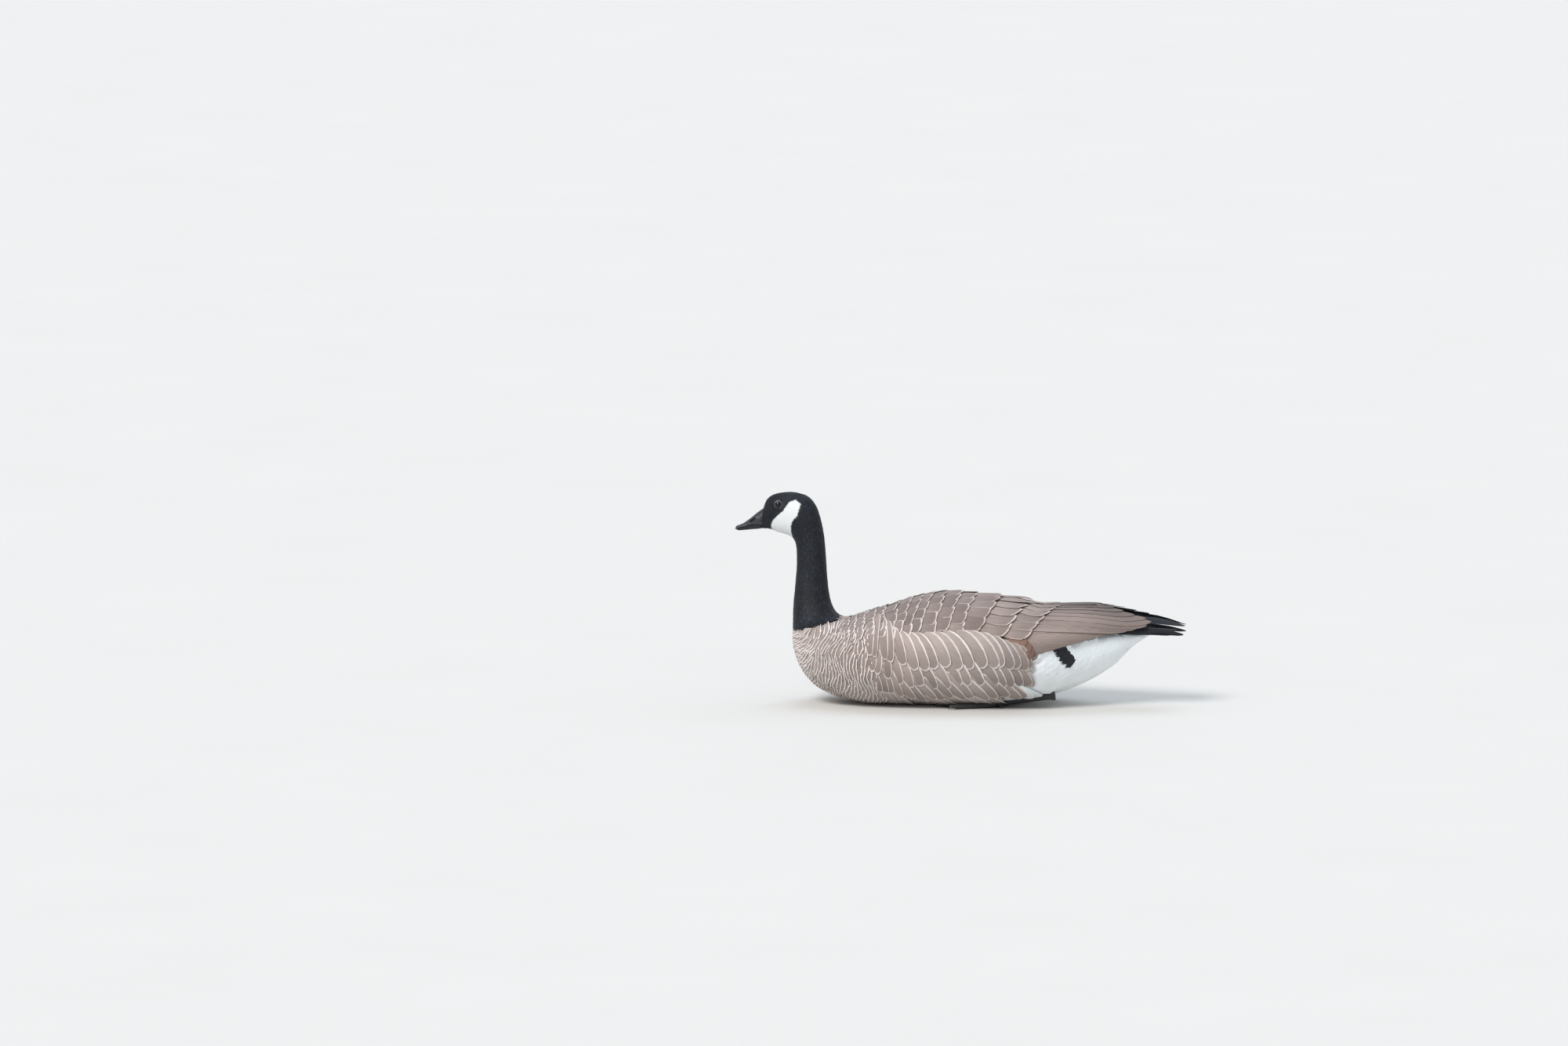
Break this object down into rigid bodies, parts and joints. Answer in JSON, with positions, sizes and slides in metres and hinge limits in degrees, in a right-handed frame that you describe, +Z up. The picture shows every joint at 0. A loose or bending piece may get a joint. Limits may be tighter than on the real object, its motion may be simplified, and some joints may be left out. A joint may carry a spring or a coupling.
{
  "type": "canada goose, still model",
  "caption": "Life-size still model of a Canada goose resting on its belly, wings folded, neck raised, feet tucked under.",
  "frame": {"origin": "centre of the model's bounding box in plan, on the floor that the belly rests on", "axes": "+X towards the tail, the bill points along -X; +Y towards the bird's right side; +Z up"},
  "size_m": [0.6916, 0.232, 0.3222],
  "materials": {
    "body_plumage": "soft barred contour feathers, buff grey to taupe, white at the vent",
    "neck_plumage": "short velvety black feathers with a white cheek patch",
    "bill_horn": "smooth black horn with a low sheen",
    "eye": "wet dark brown eye",
    "wing_feathers": "taupe flight feathers and coverts with pale edges, dark primaries",
    "tail_feathers": "black tail feathers over white coverts",
    "foot_skin": "scaly black webbed feet"
  },
  "bodies": {
    "root": {"torso": "body_plumage", "neck": "neck_plumage", "head": "neck_plumage", "bill_upper": "bill_horn", "bill_lower": "bill_horn", "eye_left": "eye", "eye_right": "eye", "wing_left": "wing_feathers", "wing_right": "wing_feathers", "tail": "tail_feathers", "leg_left": "foot_skin", "leg_right": "foot_skin", "foot_left": "foot_skin", "foot_right": "foot_skin"}
  },
  "joints": []
}
